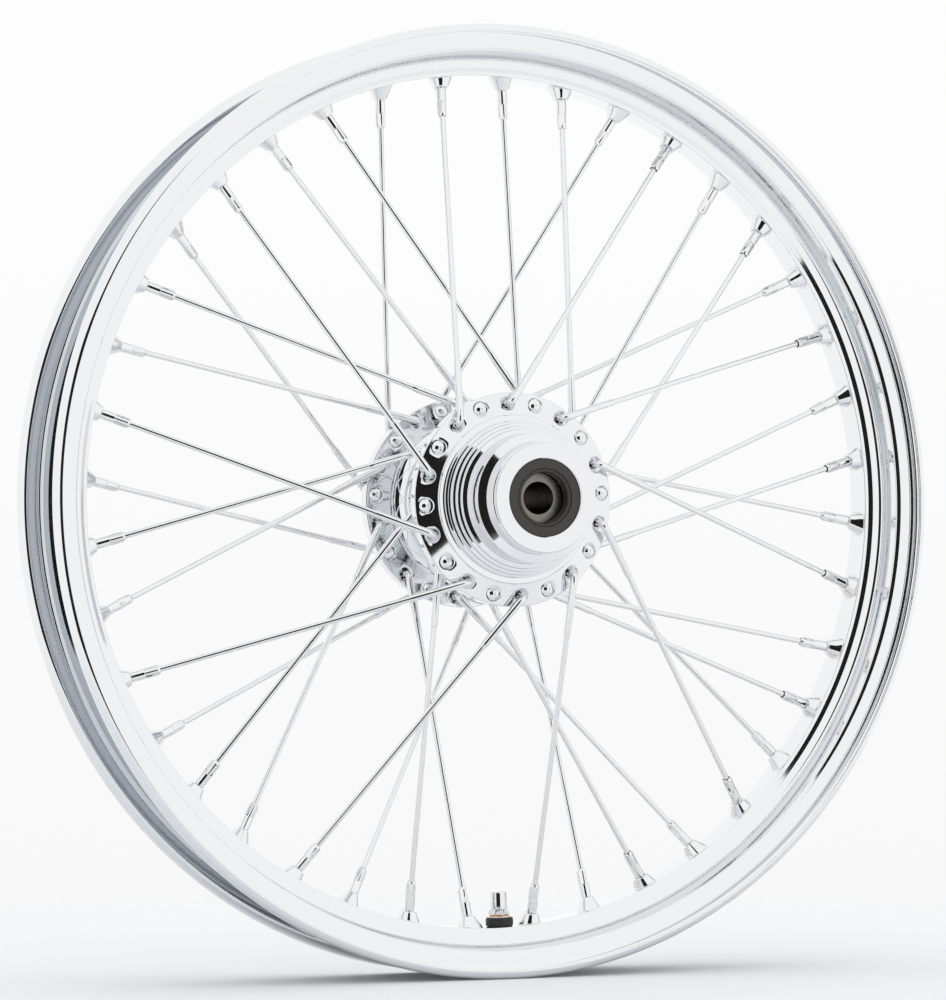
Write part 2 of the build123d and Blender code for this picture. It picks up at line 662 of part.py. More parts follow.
with BuildPart() as valve_cap:
    with BuildSketch(valve_plane(NUT_TOP)):
        RegularPolygon(CAP_R, CAP_FACETS)
    extrude(amount=CAP_TOP - NUT_TOP)
    chamfer(valve_cap.faces().sort_by(Axis.Z)[-1].edges(), CAP_CHAMFER)
    with BuildSketch(valve_plane(NUT_TOP - 1)):
        Circle(CAP_BORE_R)
    extrude(amount=CAP_TOP - NUT_TOP + 1 - CAP_CROWN, mode=Mode.SUBTRACT)
pieces["valve_cap"] = valve_cap

os.makedirs("parts", exist_ok=True)
for name, piece in pieces.items():
    piece.part.label = name
    export_step(piece.part, f"parts/{name}.step")
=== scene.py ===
from math import acos, asin, atan2, cos, hypot, pi, radians, sin, sqrt, tan

import bmesh
import bpy
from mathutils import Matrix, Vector


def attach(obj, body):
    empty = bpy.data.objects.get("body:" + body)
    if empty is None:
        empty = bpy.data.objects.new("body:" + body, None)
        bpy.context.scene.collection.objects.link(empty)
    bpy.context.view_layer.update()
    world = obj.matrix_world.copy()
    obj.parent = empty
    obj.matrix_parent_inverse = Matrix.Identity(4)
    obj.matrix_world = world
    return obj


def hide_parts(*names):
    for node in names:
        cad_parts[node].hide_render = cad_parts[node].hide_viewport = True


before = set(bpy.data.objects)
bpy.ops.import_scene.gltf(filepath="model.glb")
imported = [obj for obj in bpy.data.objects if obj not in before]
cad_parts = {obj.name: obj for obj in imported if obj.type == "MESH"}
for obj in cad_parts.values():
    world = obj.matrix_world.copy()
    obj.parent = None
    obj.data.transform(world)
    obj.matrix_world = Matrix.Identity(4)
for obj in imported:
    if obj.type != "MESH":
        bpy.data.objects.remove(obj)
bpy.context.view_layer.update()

# Lengths below are millimetres in the wheel's frame, and mesh_piece turns them into metres.
# The axle lies along Y with the plain side towards -Y, and angles turn from +X towards +Z.
MM = 0.001

# ---------------------------------------------------------------- sizes
# These are the CAD's, but for the lip, which is 0.1 less in radius and rolled less far round, and
# for the nose's first steps, which stand further out to meet a flange face that leans.
LIP_R = 280.6
SEAT_R = 266.7
HALF_WIDTH = 27.0
LIP_CURL_R = 5.0
SHEET = 2.2
BED_R = 252.4
BED_OUTER_R = 254.8
WELL_WALL_Y = 12.6
TIP_ANGLE = 80

NIPPLES = 40
FIRST_NIPPLE = 96.64
NIPPLE_STEP = 360 / NIPPLES
HOLE_R = 56.6
SPOKE_THICK_R = 2.2
SPOKE_THIN_R = 1.75
SPOKE_THICK_LENGTH = 37.0
ELBOW_BEND = 4.0
STEP_TAPER = 2.0
HEAD_R = 4.2
HEAD_DOME = 2.0
SPOKE_HOLE_R = 2.35
SINK_R = 4.7
ELBOW_SINK_R = 4.5
SPOKE_END = 2.0

DIMPLE_BASE_R = 7.6
DIMPLE_DEPTH = 6.5
DIMPLE_SLOPE = 3.0 / 6.5
POCKET_BASE_R = 5.6
POCKET_DEPTH = 4.6
NIPPLE_HOLE_R = 3.3
NIPPLE_R = 3.2
NIPPLE_HALF_FLATS = 2.75
NIPPLE_ROUND_END = 15.0
NIPPLE_SQUARE_END = 22.8
NIPPLE_TIP = 24.0

NEAR_FACE = -42.15
FAR_FACE = 32.75
FLANGE_THICK = 7.5
NEAR_INNER = NEAR_FACE + FLANGE_THICK
FAR_OUTER = FAR_FACE + FLANGE_THICK
FLANGE_R = 63.0
BARREL_R = 37.0
FLARE = 11.0
NEAR_END = NEAR_FACE - 43.2
FAR_END = 68.0
ROTOR_FACE = 62.0
ROTOR_BOSS_R = 49.0
ROTOR_PILOT_R = 28.2
ROTOR_PCD_R = 41.275
ROTOR_HOLE_R = 3.3
ROTOR_HOLE_DEPTH = 18.0
BEARING_BORE_R = 22.62
SHOULDER_R = 19.6
SHOULDER_WIDTH = 5.0
CAVITY_R = 27.0
CONE_DEPTH = 10.2
CUP_TO = 15.49
# The turned steps of the near side: radius, and distance out from the flange face.
NOSE_R = 49.6
NOSE = (
    (49.6, 2.2), (49.0, 2.6), (45.8, 2.8), (45.8, 7.4), (44.3, 7.9),
    (44.3, 10.6), (42.5, 11.15), (42.5, 13.6), (40.7, 14.2), (40.7, 16.4), (37.8, 17.3),
    (37.8, 31.4), (32.6, 33.0), (32.6, 41.0), (31.7, 41.4), (31.7, 43.2),
)

# Spokes by their number around the rim, every fourth one alike: how far the hub hole leads the
# rim hole, the face where the spoke bends, the face where its head sits, the side the elbow
# points to and the corner's distance from the face.
GROUPS = {
    "near_outer": (33.78, NEAR_FACE, NEAR_INNER, -1, 5.0),
    "far_inner": (-38.04, FAR_FACE, FAR_OUTER, -1, 3.5),
    "near_inner": (-38.22, NEAR_INNER, NEAR_FACE, 1, 3.5),
    "far_outer": (33.96, FAR_OUTER, FAR_FACE, 1, 5.0),
}
GROUP_NAMES = tuple(GROUPS)

BEFORE_VALVE = 20         # the number of the last nipple before the valve
VALVE_ANGLE = FIRST_NIPPLE - NIPPLE_STEP * (BEFORE_VALVE + 0.5)
VALVE_HOLE_R = 4.2
GROMMET_R = 8.15
GROMMET_HEIGHT = 5.4
WASHER_TOP = 6.2
RING_TOP = 7.2
NUT_TOP = 10.2
CAP_TOP = 21.0
CAP_R = 5.15
CAP_BORE_R = 3.93
CAP_CROWN = 1.4           # solid end of the cap
STEM_R = 4.1
STEM_THREAD_R = 3.85
STEM_BORE_R = 1.5
STEM_FOOT_R = 7.2
STEM_FOOT_THICK = 2.2
STEM_TOP = 19.0
CORE_SEAT = 3.0           # height where the stem widens for the valve core
INNER_GROMMET_THICK = 1.8
WASHER_R = 6.9
RING_R = 5.9
NUT_CORNER_R = 6.5


# ================================================================ shapes
def polar(radius, angle, y=0.0):
    return Vector((radius * cos(radians(angle)), y, radius * sin(radians(angle))))


def rounded(points, radii, steps=5, support=0.3):
    """An open outline with eased corners, and a point beside each that keeps the flats flat."""
    points = [Vector(point) for point in points]
    line = [points[0]]
    for before, corner, after, radius in zip(points, points[1:], points[2:], radii):
        back, ahead = before - corner, after - corner
        turn = pi - back.angle(ahead)
        room = min(back.length, ahead.length)
        cut = min(radius * tan(turn / 2), 0.44 * room)
        beside = min(support, 0.05 * room)
        start = corner + back.normalized() * cut
        end = corner + ahead.normalized() * cut
        line.append(start + back.normalized() * beside)
        for step in range(steps + 1):
            u = step / steps
            line.append(start * (1 - u) ** 2 + corner * (2 * u * (1 - u)) + end * u**2)
        line.append(end + ahead.normalized() * beside)
    line.append(points[-1])
    return line


def skin(loops, closed=False):
    """Faces between each loop of points and the next, all loops having as many points."""
    count = len(loops[0])
    points = [point for loop in loops for point in loop]
    faces = []
    pairs = len(loops) if closed else len(loops) - 1
    for row in range(pairs):
        here, there = row * count, (row + 1) % len(loops) * count
        for place in range(count):
            following = (place + 1) % count
            faces.append((here + place, here + following, there + following, there + place))
    return points, faces


def capped(loops):
    """The same with both ends closed to a point in their middle."""
    points, faces = skin(loops)
    count = len(loops[0])
    for loop, first in ((loops[0], 0), (loops[-1], len(points) - count)):
        middle = sum(loop, Vector((0, 0, 0))) / count
        points.append(middle)
        for place in range(count):
            faces.append((first + place, first + (place + 1) % count, len(points) - 1))
    return points, faces


def lathe(outline, turns, first=0.0, closed=False):
    """A surface of revolution about the axle, from (radius, y) points."""
    step = 360 / turns
    loops = [[polar(r, first + step * turn, y) for turn in range(turns)] for r, y in outline]
    return skin(loops, closed)


def rings_along(rings, sides, section=None):
    """Loops round a line of (centre, direction, radius), with an optional cross-section."""
    side = rings[0][1].orthogonal().normalized()
    loops = []
    for centre, direction, radius in rings:
        side = (side - direction * side.dot(direction)).normalized()
        across = direction.cross(side)
        loop = []
        for place in range(sides):
            angle = 2 * pi * place / sides
            reach = section(angle, radius) if section else radius
            loop.append(centre + (side * cos(angle) + across * sin(angle)) * reach)
        loops.append(loop)
    return loops


def border(start, end, count, low, high, rungs):
    """The edge of a patch between two angles and two (radius, y) lines."""

    def sweep(line, first, last):
        radius, y = line
        return [polar(radius, first + (last - first) * n / count, y) for n in range(count)]

    def climb(angle, first, last):
        side = []
        for rung in range(rungs):
            u = rung / rungs
            radius, y = (a + (b - a) * u for a, b in zip(first, last))
            side.append(polar(radius, angle, y))
        return side

    return [
        *sweep(high, end, start), *climb(start, high, low),
        *sweep(low, start, end), *climb(end, low, high),
    ]


def ways_round(count, rungs):
    """Directions round a patch, (along, across), in step with the points of its border."""
    total = 2 * (count + rungs)
    angles = [pi * (rungs + 2 * place) / total for place in range(total)]
    return [(cos(angle), sin(angle)) for angle in angles]


def between(loop, other, steps):
    """Loops between two others, that keep to the surface round the axle which both lie on."""
    loops = []
    for step in range(1, steps):
        u = step / steps
        middle = []
        for a, b in zip(loop, other):
            angle_a, angle_b = atan2(a.z, a.x), atan2(b.z, b.x)
            swing = (angle_b - angle_a + pi) % (2 * pi) - pi
            radius = hypot(a.x, a.z) * (1 - u) + hypot(b.x, b.z) * u
            angle = angle_a + swing * u
            y = a.y * (1 - u) + b.y * u
            middle.append(Vector((radius * cos(angle), y, radius * sin(angle))))
        loops.append(middle)
    return loops


SHARP_ANGLE = 34


def mesh_piece(name, skins, body, finish, replaces):
    """One object from skins, merged where their points meet."""
    points, faces = [], []
    for skin_points, skin_faces in skins:
        first = len(points)
        points += [point * MM for point in skin_points]
        faces += [tuple(first + corner for corner in face) for face in skin_faces]
    mesh = bpy.data.meshes.new(name)
    mesh.from_pydata(points, [], faces)
    work = bmesh.new()
    work.from_mesh(mesh)
    bmesh.ops.remove_doubles(work, verts=work.verts, dist=1e-6)
    bmesh.ops.dissolve_degenerate(work, edges=work.edges, dist=1e-7)
    bmesh.ops.recalc_face_normals(work, faces=work.faces)
    work.to_mesh(mesh)
    work.free()
    mesh.shade_smooth()
    mesh.set_sharp_from_angle(angle=radians(SHARP_ANGLE))
    mesh.materials.append(finish)
    piece = bpy.data.objects.new(name, mesh)
    bpy.context.scene.collection.objects.link(piece)
    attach(piece, body)
    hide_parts(*replaces)
    return piece


# ================================================================ materials
def material(
    name, colour, metallic, roughness, spread, noise_scale, bump, bump_scale, stretch=(1, 1, 1)
):
    """A surface whose roughness wanders about a value, over a fine bump in object space."""
    made = bpy.data.materials.new(name)
    made.use_nodes = True
    nodes, links = made.node_tree.nodes, made.node_tree.links
    shader = nodes["Principled BSDF"]
    shader.inputs["Base Color"].default_value = (*colour, 1)
    shader.inputs["Metallic"].default_value = metallic
    place = nodes.new("ShaderNodeTexCoord")
    scale = nodes.new("ShaderNodeMapping")
    scale.inputs["Scale"].default_value = stretch
    links.new(place.outputs["Object"], scale.inputs["Vector"])
    cloud = nodes.new("ShaderNodeTexNoise")
    cloud.inputs["Scale"].default_value = noise_scale
    cloud.inputs["Detail"].default_value = 4
    links.new(scale.outputs["Vector"], cloud.inputs["Vector"])
    spread_over = nodes.new("ShaderNodeMapRange")
    spread_over.inputs["From Min"].default_value = 0.3
    spread_over.inputs["From Max"].default_value = 0.7
    spread_over.inputs["To Min"].default_value = roughness - spread
    spread_over.inputs["To Max"].default_value = roughness + spread
    links.new(cloud.outputs["Fac"], spread_over.inputs["Value"])
    links.new(spread_over.outputs["Result"], shader.inputs["Roughness"])
    grain = nodes.new("ShaderNodeTexNoise")
    grain.inputs["Scale"].default_value = bump_scale
    grain.inputs["Detail"].default_value = 3
    links.new(scale.outputs["Vector"], grain.inputs["Vector"])
    relief = nodes.new("ShaderNodeBump")
    relief.inputs["Strength"].default_value = 1.0
    relief.inputs["Distance"].default_value = bump
    links.new(grain.outputs["Fac"], relief.inputs["Height"])
    links.new(relief.outputs["Normal"], shader.inputs["Normal"])
    return made


MICRON = 1e-6
AROUND_FINE = (1, 8, 1)   # turned steel: marks drawn out round the axle
AROUND_COARSE = (1, 10, 1)
# Name, colour, metallic, roughness, its spread and noise scale, the bump's height and noise scale.
RIM_CHROME = material("rim_chrome", (0.80, 0.81, 0.82), 1, 0.04, 0.012, 40, 1.5 * MICRON, 60)
# Painted reflection: the rim channel's tyre side is coloured a darker blue-grey than the rest of
# the chrome.
RIM_CHANNEL_PAINTED_REFLECTION = material("rim_channel_painted_reflection", (0.60, 0.625, 0.655), 1, 0.07, 0.02, 60, 1 * MICRON, 200)
HUB_CHROME = material("hub_chrome", (0.79, 0.80, 0.82), 1, 0.045, 0.015, 90, 0.8 * MICRON, 120)
SPOKE_CHROME = material("spoke_chrome", (0.79, 0.80, 0.81), 1, 0.04, 0.012, 150, 0.6 * MICRON, 200)
NIPPLE_CHROME = material("nipple_chrome", (0.82, 0.82, 0.83), 1, 0.055, 0.02, 250, 1 * MICRON, 400)
VALVE_CHROME = material("valve_chrome", (0.78, 0.78, 0.78), 1, 0.09, 0.03, 400, 2 * MICRON, 900)
VALVE_BRASS = material("valve_brass", (0.62, 0.36, 0.17), 1, 0.28, 0.06, 500, 3 * MICRON, 1200)
VALVE_RUBBER = material(
    "valve_rubber", (0.014, 0.014, 0.015), 0, 0.55, 0.08, 500, 14 * MICRON, 2200
)
SEAL_RUBBER = material("seal_rubber", (0.027, 0.025, 0.020), 0, 0.38, 0.08, 300, 12 * MICRON, 1800)
STRIP_RUBBER = material("strip_rubber", (0.022, 0.022, 0.024), 0, 0.62, 0.08, 60, 30 * MICRON, 900)
SEAL_STEEL = material("seal_steel", (0.46, 0.46, 0.48), 1, 0.3, 0.06, 300, 5 * MICRON, 900)
BEARING_STEEL = material(
    "bearing_steel", (0.21, 0.20, 0.175), 1, 0.3, 0.05, 300, 2 * MICRON, 1500, AROUND_FINE
)
CAGE_STEEL = material("cage_steel", (0.34, 0.34, 0.35), 1, 0.36, 0.06, 300, 6 * MICRON, 900)
SPACER_STEEL = material(
    "spacer_steel", (0.17, 0.15, 0.12), 1, 0.33, 0.06, 200, 5 * MICRON, 700, AROUND_COARSE
)


# ================================================================ spokes and nipples
def spoke_line(number):
    """The elbow's corner, the rim point and the direction from the rim to the hub."""
    lead, elbow_face, _, side, rise = GROUPS[GROUP_NAMES[number % 4]]
    angle = FIRST_NIPPLE - NIPPLE_STEP * number
    corner = polar(HOLE_R, angle + lead, elbow_face + side * rise)
    rim_point = polar(BED_R, angle)
    return corner, rim_point, (corner - rim_point).normalized()


HEAD_NECK = HEAD_R - SPOKE_THICK_R
HEAD_EDGE = 0.3
DOME_R = (HEAD_R**2 + HEAD_DOME**2) / (2 * HEAD_DOME)
DIP_R = 0.85
DIP_DEPTH = 0.4


def head_outline():
    """(radius, height above the neck's foot) from the crown's punched dip to the shank."""
    outline = [(0.25, HEAD_NECK + HEAD_DOME - DIP_DEPTH), (0.6, HEAD_NECK + HEAD_DOME - 0.3)]
    steps = 8
    low = acos((DOME_R - HEAD_DOME + HEAD_EDGE) / DOME_R)
    for step in range(steps + 1):
        angle = asin(DIP_R / DOME_R) + (low - asin(DIP_R / DOME_R)) * step / steps
        outline.append((DOME_R * sin(angle), HEAD_NECK + HEAD_DOME - DOME_R * (1 - cos(angle))))
    outline += [(HEAD_R, HEAD_NECK + 0.1), (HEAD_R, HEAD_NECK), (SPOKE_THICK_R, 0)]
    return outline


def spoke(number):
    _, _, head_face, elbow_side, _ = GROUPS[GROUP_NAMES[number % 4]]
    corner, rim_point, inward = spoke_line(number)
    shank = Vector((0, elbow_side, 0))
    foot = Vector((corner.x, head_face + elbow_side * (SINK_R - SPOKE_THICK_R), corner.z))
    rings = [(foot - shank * height, shank, radius) for radius, height in head_outline()]
    cut = ELBOW_BEND * tan(shank.angle(-inward) / 2)
    cut = min(cut, 0.98 * (corner - foot).length)
    start, end = corner - shank * cut, corner - inward * cut
    steps = 9
    for step in range(steps + 1):
        u = step / steps
        centre = start * (1 - u) ** 2 + corner * (2 * u * (1 - u)) + end * u**2
        direction = ((corner - start) * (1 - u) + (end - corner) * u).normalized()
        rings.append((centre, direction, SPOKE_THICK_R))
    step_depth = (corner - rim_point).length - SPOKE_THICK_LENGTH
    for depth, radius in (
        (step_depth + 0.3, SPOKE_THICK_R),
        (step_depth, SPOKE_THICK_R - 0.02),
        (step_depth - STEP_TAPER, SPOKE_THIN_R + 0.02),
        (step_depth - STEP_TAPER - 0.3, SPOKE_THIN_R),
        (SPOKE_END, SPOKE_THIN_R),
    ):
        rings.append((rim_point + inward * depth, -inward, radius))
    return capped(rings_along(rings, 20))


def square(angle, radius):
    """The nipple's four wrench flats, cut into its round barrel."""
    return min(radius, NIPPLE_HALF_FLATS / max(abs(cos(angle)), abs(sin(angle))))


# (depth, radius) down the outside of a nipple, from its head in the rim to its square tip.
NIPPLE_HEAD = ((-1.0, 5.0), (1.0, 5.0), (4.4, 3.45), (4.5, NIPPLE_R))
NIPPLE_BARREL = (
    (6.6, NIPPLE_R), (6.8, 2.9), (7.1, 2.9), (7.3, NIPPLE_R), (NIPPLE_ROUND_END - 0.5, NIPPLE_R),
    (NIPPLE_ROUND_END - 0.3, 3.05), (NIPPLE_ROUND_END - 0.1, 3.05),
)
NIPPLE_BORE_R = 1.8


def nipple(number):
    _, rim_point, inward = spoke_line(number)
    sides = 32

    def rings(pairs):
        return [(rim_point + inward * depth, inward, radius) for depth, radius in pairs]

    bore = rings_along(rings([(NIPPLE_TIP - 1.6, NIPPLE_BORE_R), (-1.0, NIPPLE_BORE_R)]), sides)
    outside = rings_along(rings(NIPPLE_HEAD + NIPPLE_BARREL), sides)
    flats = [(NIPPLE_ROUND_END + 0.1, NIPPLE_R), (NIPPLE_SQUARE_END - 0.2, NIPPLE_R)]
    flats = rings_along(rings(flats), sides, square)
    tip = [
        (NIPPLE_SQUARE_END, 2.95), (NIPPLE_TIP - 0.4, 2.75), (NIPPLE_TIP, 2.5), (NIPPLE_TIP, 2.35)
    ]
    tip = rings_along(rings(tip), sides, square)
    return skin(outside + flats + tip + bore, closed=True)


for index, group in enumerate(GROUP_NAMES):
    numbers = range(index, NIPPLES, 4)
    mesh_piece(
        f"{group}_spoke_set", [spoke(number) for number in numbers], "wheel",
        SPOKE_CHROME, [f"{group}_spokes"],
    )
    mesh_piece(
        f"{group}_nipple_set", [nipple(number) for number in numbers], "wheel",
        NIPPLE_CHROME, [f"{group}_nipples"],
    )

# ================================================================ rim
RIM_TURNS = 360
CELL = 9                  # one-degree steps in the patch of bed round each nipple
BED_EDGE = 8.2
BED_BACK_EDGE = 6.9
RUNGS = 8
FOOT_INSET = 0.5          # how far the dimple's foot and its skirt stay inside the bed's edge
SKIRT_INSET = 0.1
SKIRT = 0.12              # the skirt's width, as a part of the foot's distance out
VALVE_HALF = 2            # half the angle of the valve's own patch


def within(value, limit):
    """The value, kept from passing the limit either way."""
    return max(-limit, min(limit, value))


def bed_point(line_point, inward, facing, radius, slope, bed):
    """Where a cone about the spoke meets the bed, on the side that facing points to."""
    low, high = -8.0, 8.0
    halvings = 40
    for _ in range(halvings):
        depth = (low + high) / 2
        point = line_point + inward * depth + facing * (radius - slope * depth)
        if hypot(point.x, point.z) > bed:
            low = depth
        else:
            high = depth
    return point


def dimple_loops(number, ways):
    """Loops from the dimple's skirt on the bed, up its cone, down the hole, to the pocket."""
    _, rim_point, inward = spoke_line(number)
    along = polar(1, FIRST_NIPPLE - NIPPLE_STEP * number + 90)
    along = (along - inward * along.dot(inward)).normalized()
    across = inward.cross(along)
    if across.y < 0:
        across = -across
    columns = []
    for way in ways:
        facing = along * way[0] + across * way[1]

        def at(depth, radius):
            return rim_point + inward * depth + facing * radius

        foot = bed_point(rim_point, inward, facing, DIMPLE_BASE_R, DIMPLE_SLOPE, BED_R)
        foot.y = within(foot.y, BED_EDGE - FOOT_INSET)
        skirt = foot + (foot - rim_point) * SKIRT
        skirt.y = within(skirt.y, BED_EDGE - SKIRT_INSET)
        skirt *= BED_R / hypot(skirt.x, skirt.z)
        top = at(DIMPLE_DEPTH, DIMPLE_BASE_R - DIMPLE_SLOPE * DIMPLE_DEPTH)
        mouth = at(DIMPLE_DEPTH, NIPPLE_HOLE_R + 0.15)
        line = rounded([skirt, foot, top, mouth], [2.4, 1.6], support=0.2)
        pocket = bed_point(rim_point, inward, facing, POCKET_BASE_R, DIMPLE_SLOPE, BED_OUTER_R)
        line += [
            at(DIMPLE_DEPTH - 0.15, NIPPLE_HOLE_R),
            at(POCKET_DEPTH, NIPPLE_HOLE_R),
            at(POCKET_DEPTH, POCKET_BASE_R - POCKET_DEPTH * DIMPLE_SLOPE),
            pocket,
        ]
        columns.append(line)
    return [list(loop) for loop in zip(*columns)]


def valve_hole_loops(ways):
    """The plain hole for the valve, through the bed's sheet."""
    outward, along, axial = polar(1, VALVE_ANGLE), polar(1, VALVE_ANGLE + 90), Vector((0, 1, 0))
    loops = []
    for bed in (BED_R, BED_OUTER_R):
        loop = []
        for way in ways:
            height = sqrt(bed**2 - (VALVE_HOLE_R * way[0]) ** 2)
            loop.append(outward * height + (along * way[0] + axial * way[1]) * VALVE_HOLE_R)
        loops.append(loop)
    return loops


def bed_patch(start, end, loops_for):
    """A patch of the bed, both faces of the sheet, round the hole that loops_for makes."""
    count = round(end - start)

    def edge(radius, half):
        return border(start, end, count, (radius, -half), (radius, half), RUNGS)

    front, back = edge(BED_R, BED_EDGE), edge(BED_OUTER_R, BED_BACK_EDGE)
    loops = loops_for(ways_round(count, RUNGS))
    return skin(
        [front, *between(front, loops[0], 4), *loops, *between(loops[-1], back, 2), back]
    )


CHANNEL_R = LIP_R - LIP_CURL_R
TIP_ROUND = 11            # degrees that the lip's round end adds


def curl_point(radius, angle):
    angle = radians(angle)
    return CHANNEL_R + radius * cos(angle), HALF_WIDTH + LIP_CURL_R + radius * sin(angle)


def rim_outline():
    """(radius, y) of the +Y half's section, from the bed's hub side round the lip to its back."""
    hub_side = rounded(
        [
            (BED_R, BED_EDGE),
            (BED_R, 9.0),
            (254.5, 9.63),
            (256.95, 10.9),
            (262.8, WELL_WALL_Y),
            (264.3, HALF_WIDTH - 0.1),
            (266.7, HALF_WIDTH + 1.2),
            (269.5, HALF_WIDTH + SHEET - 0.2),
            (CHANNEL_R, HALF_WIDTH + SHEET),
        ],
        [0.8, 1.5, 1.5, 4.0, 1.6, 2.5, 4.0],
    )
    inner = [curl_point(LIP_CURL_R - SHEET, angle) for angle in range(-80, TIP_ANGLE + 1, 12)]
    tip = []
    for turn in range(165, 0, -30):
        radius = LIP_CURL_R - SHEET / 2 + SHEET / 2 * cos(radians(turn))
        tip.append(curl_point(radius, TIP_ANGLE + TIP_ROUND * sin(radians(turn))))
    outer = [curl_point(LIP_CURL_R, angle) for angle in range(TIP_ANGLE, -91, -10)]
    tyre_side = rounded(
        [
            (CHANNEL_R, HALF_WIDTH),
            (SEAT_R + 0.1, HALF_WIDTH),
            (SEAT_R - 1.2, WELL_WALL_Y - 0.6),
            (BED_OUTER_R, 7.8),
            (BED_OUTER_R, BED_BACK_EDGE),
        ],
        [4.0, 2.0, 1.2],
    )
    return [*hub_side, *inner, *tip, *outer[:-1], *tyre_side]


def rim_skins():
    outline = rim_outline()
    first = FIRST_NIPPLE + CELL / 2
    mirrored = [(r, -y) for r, y in outline]
    skins = [lathe(outline, RIM_TURNS, first), lathe(mirrored, RIM_TURNS, first)]
    for number in range(NIPPLES):
        middle = FIRST_NIPPLE - NIPPLE_STEP * number
        start, end = middle - CELL / 2, middle + CELL / 2
        # The two patches beside the valve give it a patch of its own between them.
        if number == BEFORE_VALVE:
            start += VALVE_HALF
        if number == BEFORE_VALVE + 1:
            end -= VALVE_HALF
        skins.append(bed_patch(start, end, lambda ways: dimple_loops(number, ways)))
    skins.append(bed_patch(VALVE_ANGLE - VALVE_HALF, VALVE_ANGLE + VALVE_HALF, valve_hole_loops))
    return skins


def paint_channel_reflection(hoop):
    """The channel's faces that turn to the tyre get a darker, bluer, slightly rougher chrome,
    whose darker blue-grey colour is a painted reflection.
    """
    hoop.data.materials.append(RIM_CHANNEL_PAINTED_REFLECTION)
    facing = 0.2              # how far a face must turn to the tyre to count as its side
    for face in hoop.data.polygons:
        middle, normal = face.center / MM, face.normal
        radius = hypot(middle.x, middle.z)
        outwards = (normal.x * middle.x + normal.z * middle.z) / radius
        inwards = -normal.y if middle.y > 0 else normal.y
        in_channel = radius < CHANNEL_R and abs(middle.y) < HALF_WIDTH + 0.05
        if in_channel and max(outwards, inwards) > facing:
            face.material_index = 1


# The channel's tyre side gets the darker blue-grey chrome, a painted reflection.
paint_channel_reflection(mesh_piece("rim_hoop", rim_skins(), "wheel", RIM_CHROME, ["rim"]))

# ================================================================ hub
HUB_TURNS = 240
HUB_RUNGS = 6
HOLES = 20
HOLE_BAND = (51.9, 61.5)
NEAR_LEAN = tan(radians(13.5))
ROTOR_BAND = (33.5, 47.0)
ROTOR_HOLES = 5
FLANGE_EDGE = 1.3
BORE_EDGE = 0.6           # the near bore's chamfer
BORE_SEAM = 5             # how deep in the bores the end skins meet the inner one
# The eased mouth of a sunk hole: depth below the face, and how far past the sink's radius.
SINK_MOUTH = ((0.0, 0.12), (0.05, 0.04), (0.14, -0.08))


def leaning(radius, lean):
    """How far a face that leans about the hole circle stands back at a radius."""
    return lean * (radius - HOLE_R)


def hole_loops(angle, ways, faces, sinks, radius, lean):
    """Loops down a countersunk hole at an angle, between two faces across the axle."""
    centre, along, outward = polar(HOLE_R, angle), polar(1, angle + 90), polar(1, angle)
    levels = [
        *((faces[0] + depth, sinks[0] + past) for depth, past in SINK_MOUTH),
        (faces[0] + (sinks[0] - radius), radius),
        (faces[1] - (sinks[1] - radius), radius),
        *((faces[1] - depth, sinks[1] + past) for depth, past in reversed(SINK_MOUTH)),
    ]
    loops = []
    for level, (y, reach) in enumerate(levels):
        loop = []
        for way in ways:
            point = centre + (along * way[0] + outward * way[1]) * reach
            point.y = y
            if level < len(SINK_MOUTH):
                point.y += leaning(hypot(point.x, point.z), lean)
            loop.append(point)
        loops.append(loop)
    return loops


def flange_skins(faces, hole_kinds, lean=0.0):
    """The drilled band of a flange: 20 patches, each with a hole from one face to the other."""
    skins = []
    half = 360 / HOLES / 2
    count = HUB_TURNS // HOLES
    for first, sinks in hole_kinds:
        for turn in range(HOLES // 2):
            angle = first + 4 * half * turn
            edges = []
            for y, slope in zip(faces, (lean, 0.0)):
                low, high = ((radius, y + leaning(radius, slope)) for radius in HOLE_BAND)
                edges.append(border(angle - half, angle + half, count, low, high, HUB_RUNGS))
            ways = ways_round(count, HUB_RUNGS)
            loops = hole_loops(angle, ways, faces, sinks, SPOKE_HOLE_R, lean)
            skins.append(
                skin(
                    [edges[0], *between(edges[0], loops[0], 3), *loops,
                     *between(loops[-1], edges[1], 3), edges[1]]
                )
            )
    return skins


